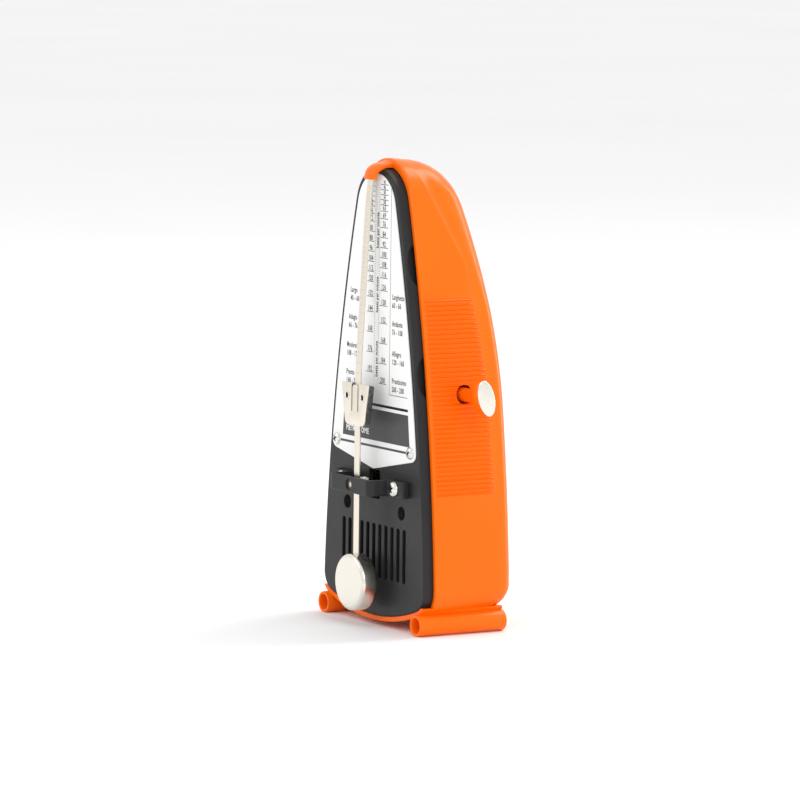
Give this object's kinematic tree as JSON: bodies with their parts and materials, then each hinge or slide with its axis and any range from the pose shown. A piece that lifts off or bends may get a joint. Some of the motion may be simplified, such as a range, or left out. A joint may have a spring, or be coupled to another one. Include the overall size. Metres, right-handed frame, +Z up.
{
  "type": "pocket metronome",
  "caption": "Wind-up pocket metronome in a tapered arched plastic case with two tube feet, a swinging rod with bob and sliding weight, and a side winding key.",
  "frame": {"origin": "bottom centre of the bounding box, on the surface the feet stand on", "axes": "+Z up, -Y out of the front panel, +X towards the winding key's side"},
  "size_m": [0.0789, 0.0476, 0.16],
  "materials": {
    "orange_plastic": "glossy moulded",
    "black_plastic": "satin moulded",
    "white_aluminium": "printed satin",
    "chromed_steel": "polished",
    "polished_nickel": "polished",
    "nickelled_steel": "satin",
    "grey_zinc": "cast and dull",
    "brass": "satin",
    "steel": "ground"
  },
  "bodies": {
    "case": {"rear_housing": "orange_plastic", "front_chassis": "black_plastic", "scale_plate": "white_aluminium", "scale_plate_screws": "chromed_steel", "pivot_bridge": "black_plastic", "bridge_screws": "chromed_steel", "housing_screws": "steel", "left_movement_plate": "brass", "right_movement_plate": "brass", "movement_pillars": "brass", "movement_screws": "steel", "front_pivot_bush": "brass", "rear_pivot_bar": "brass", "click_stud": "steel"},
    "pendulum": {"pendulum_rod": "nickelled_steel", "pendulum_hub": "steel", "pendulum_arbor": "steel", "pallet_fork": "steel", "pendulum_bob": "polished_nickel"},
    "slider": {"slider_plate": "nickelled_steel", "slider_weight": "grey_zinc", "slider_rivets": "nickelled_steel"},
    "winder": {"winding_key": "orange_plastic", "key_cap": "chromed_steel", "winding_arbor": "steel", "ratchet_wheel": "steel"},
    "barrel": {"spring_barrel": "brass", "barrel_cover": "brass", "great_wheel": "brass", "mainspring": "steel"},
    "second": {"second_arbor": "steel", "second_wheel": "brass"},
    "escape": {"escape_arbor": "steel", "escape_wheel": "brass"},
    "click": {"click": "steel", "click_spring": "steel"}
  },
  "joints": [
    {"name": "pendulum_swing", "type": "hinge", "parent": "case", "child": "pendulum", "pos_m": [-0.0039, -0.02035, 0.0487], "axis": [0, 1, 0], "range_deg": [-28, 28]},
    {"name": "slider_slide", "type": "slide", "parent": "pendulum", "child": "slider", "axis": [0, 0.0366, 0.9993], "range_m": [0, 0.066]},
    {"name": "key_wind", "type": "hinge", "parent": "case", "child": "winder", "pos_m": [-0.0039, 0.0046, 0.0812], "axis": [-1, 0, 0], "range_deg": [0, 2160]},
    {"name": "barrel_turn", "type": "hinge", "parent": "case", "child": "barrel", "pos_m": [-0.0039, 0.0046, 0.0812], "axis": [1, 0, 0], "continuous": true},
    {"name": "second_turn", "type": "hinge", "parent": "case", "child": "second", "pos_m": [-0.0039, 0.00646, 0.06581], "axis": [1, 0, 0], "continuous": true},
    {"name": "escape_turn", "type": "hinge", "parent": "case", "child": "escape", "pos_m": [-0.0039, -0.0041, 0.0574], "axis": [1, 0, 0], "continuous": true},
    {"name": "click_lift", "type": "hinge", "parent": "case", "child": "click", "pos_m": [0.0101, 0.0129, 0.0885], "axis": [-1, 0, 0], "range_deg": [0, 12], "stiffness_Nm_per_rad": 0.0002}
  ],
  "couplings": [
    {"joint": "second_turn", "follows": "escape_turn", "ratio": -0.2},
    {"joint": "barrel_turn", "follows": "escape_turn", "ratio": 0.038462}
  ]
}
